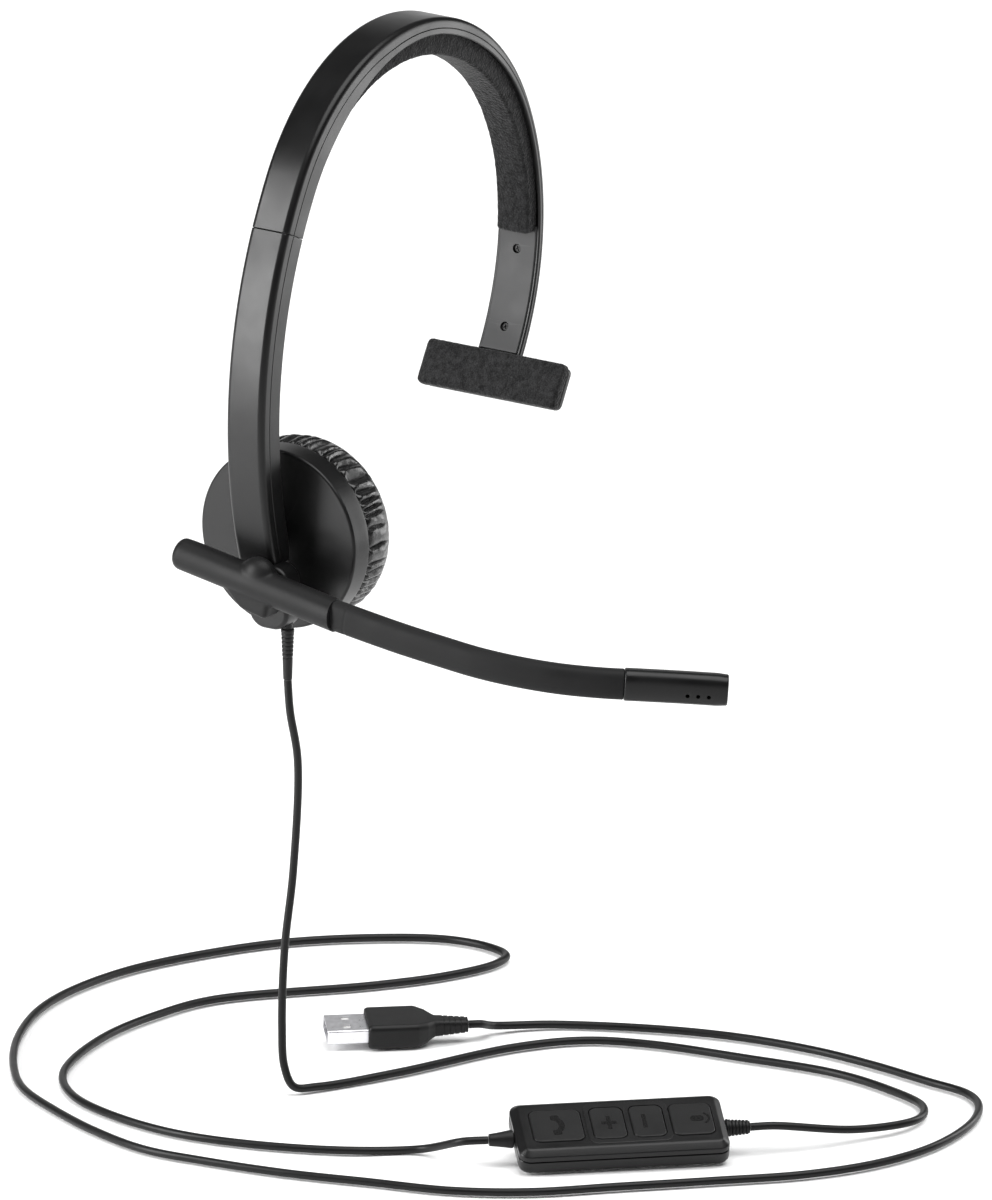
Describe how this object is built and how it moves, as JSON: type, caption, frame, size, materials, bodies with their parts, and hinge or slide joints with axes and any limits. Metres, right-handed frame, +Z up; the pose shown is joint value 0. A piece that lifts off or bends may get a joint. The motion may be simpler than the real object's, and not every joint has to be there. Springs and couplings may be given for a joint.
{
  "type": "office headset",
  "caption": "One-ear corded office headset with a sliding headband, temple bar, padded ear cup, boom microphone, in-line key controller and USB plug.",
  "frame": {"origin": "centre of the ear cushion's contact face, where the wearer's ear holds the part", "axes": "+X from the ear cup towards the temple pad, -Y the wearer's forward direction, +Z up"},
  "size_m": [0.2233, 0.302, 0.3164],
  "materials": {
    "satin_plastic": "satin black moulding",
    "inner_plastic": "satin dark grey moulding",
    "dark_plastic": "matte black moulding",
    "pad_fabric": "black foam covered in knitted fabric",
    "leatherette": "gathered black leatherette over foam",
    "soft_rubber": "matte black soft-touch",
    "cord_jacket": "smooth black cord jacket",
    "spring_steel": "rolled spring steel",
    "plated_steel": "nickel plated steel",
    "circuit_board": "green circuit board",
    "clear_film": "thin pressed film",
    "white_plastic": "white moulded plastic"
  },
  "bodies": {
    "arm": {"arm_shell": "satin_plastic", "arm_cover": "inner_plastic", "hub_cover": "inner_plastic", "detent_spring": "spring_steel", "arm_screw_1": "plated_steel", "arm_screw_2": "plated_steel", "pivot_washer": "spring_steel", "hub_gland": "soft_rubber", "controller_base": "satin_plastic", "controller_top": "satin_plastic", "controller_board": "circuit_board", "dome_sheet": "plated_steel", "controller_screw_1": "plated_steel", "controller_screw_2": "plated_steel", "controller_gland_in": "soft_rubber", "controller_gland_out": "soft_rubber", "cord_upper": "cord_jacket", "cord_lower": "cord_jacket", "plug_overmould": "soft_rubber", "plug_shell": "plated_steel", "plug_tongue": "white_plastic"},
    "headband": {"headband_shell": "satin_plastic", "headband_spring": "spring_steel", "size_slider": "inner_plastic", "slider_screw": "plated_steel", "headband_pad": "pad_fabric", "band_inner_cover": "inner_plastic", "limb_inner_cover": "inner_plastic", "limb_screw_1": "dark_plastic", "limb_screw_2": "dark_plastic", "temple_bar": "satin_plastic", "temple_pad": "pad_fabric"},
    "cup_swivel": {"cup_yoke": "inner_plastic"},
    "ear_cup": {"cup_cap": "satin_plastic", "cup_swivel_seat": "dark_plastic", "cup_baffle": "satin_plastic", "speaker_frame": "dark_plastic", "speaker_magnet": "plated_steel", "speaker_diaphragm": "clear_film", "cushion_ring": "dark_plastic", "speaker_cloth": "pad_fabric", "ear_cushion": "leatherette", "cup_screw_1": "plated_steel", "cup_screw_2": "plated_steel", "cup_screw_3": "plated_steel"},
    "boom": {"boom_base_outer": "satin_plastic", "boom_base_inner": "satin_plastic", "pivot_clip": "plated_steel", "boom_arm": "soft_rubber", "mic_housing_outer": "satin_plastic", "mic_housing_inner": "satin_plastic", "mic_capsule": "plated_steel", "mic_gasket": "soft_rubber"},
    "call_key": {"call_button": "soft_rubber"},
    "volume_up_key": {"volume_up_button": "soft_rubber"},
    "volume_down_key": {"volume_down_button": "soft_rubber"},
    "mute_key": {"mute_button": "soft_rubber"}
  },
  "joints": [
    {"name": "size_adjust", "type": "hinge", "parent": "arm", "child": "headband", "pos_m": [0.1043, 0, 0.0372], "axis": [0, 1, 0], "range_deg": [0, 11]},
    {"name": "cup_yaw", "type": "hinge", "parent": "arm", "child": "cup_swivel", "pos_m": [-0.0294, 0, 0], "axis": [0, 0, 1], "range_deg": [-8, 8]},
    {"name": "cup_pitch", "type": "hinge", "parent": "cup_swivel", "child": "ear_cup", "pos_m": [-0.0189, 0, 0], "axis": [0, 1, 0], "range_deg": [-8, 8]},
    {"name": "boom_rotation", "type": "hinge", "parent": "arm", "child": "boom", "pos_m": [-0.041, -0.0058, -0.0095], "axis": [1, 0, 0], "range_deg": [-75, 75]},
    {"name": "call_press", "type": "slide", "parent": "arm", "child": "call_key", "axis": [0.2493, 0.2341, -0.9397], "range_m": [0, 0.00035], "stiffness_N_per_m": 1500},
    {"name": "volume_up_press", "type": "slide", "parent": "arm", "child": "volume_up_key", "axis": [0.2493, 0.2341, -0.9397], "range_m": [0, 0.00035], "stiffness_N_per_m": 1500},
    {"name": "volume_down_press", "type": "slide", "parent": "arm", "child": "volume_down_key", "axis": [0.2493, 0.2341, -0.9397], "range_m": [0, 0.00035], "stiffness_N_per_m": 1500},
    {"name": "mute_press", "type": "slide", "parent": "arm", "child": "mute_key", "axis": [0.2493, 0.2341, -0.9397], "range_m": [0, 0.00035], "stiffness_N_per_m": 1500}
  ]
}
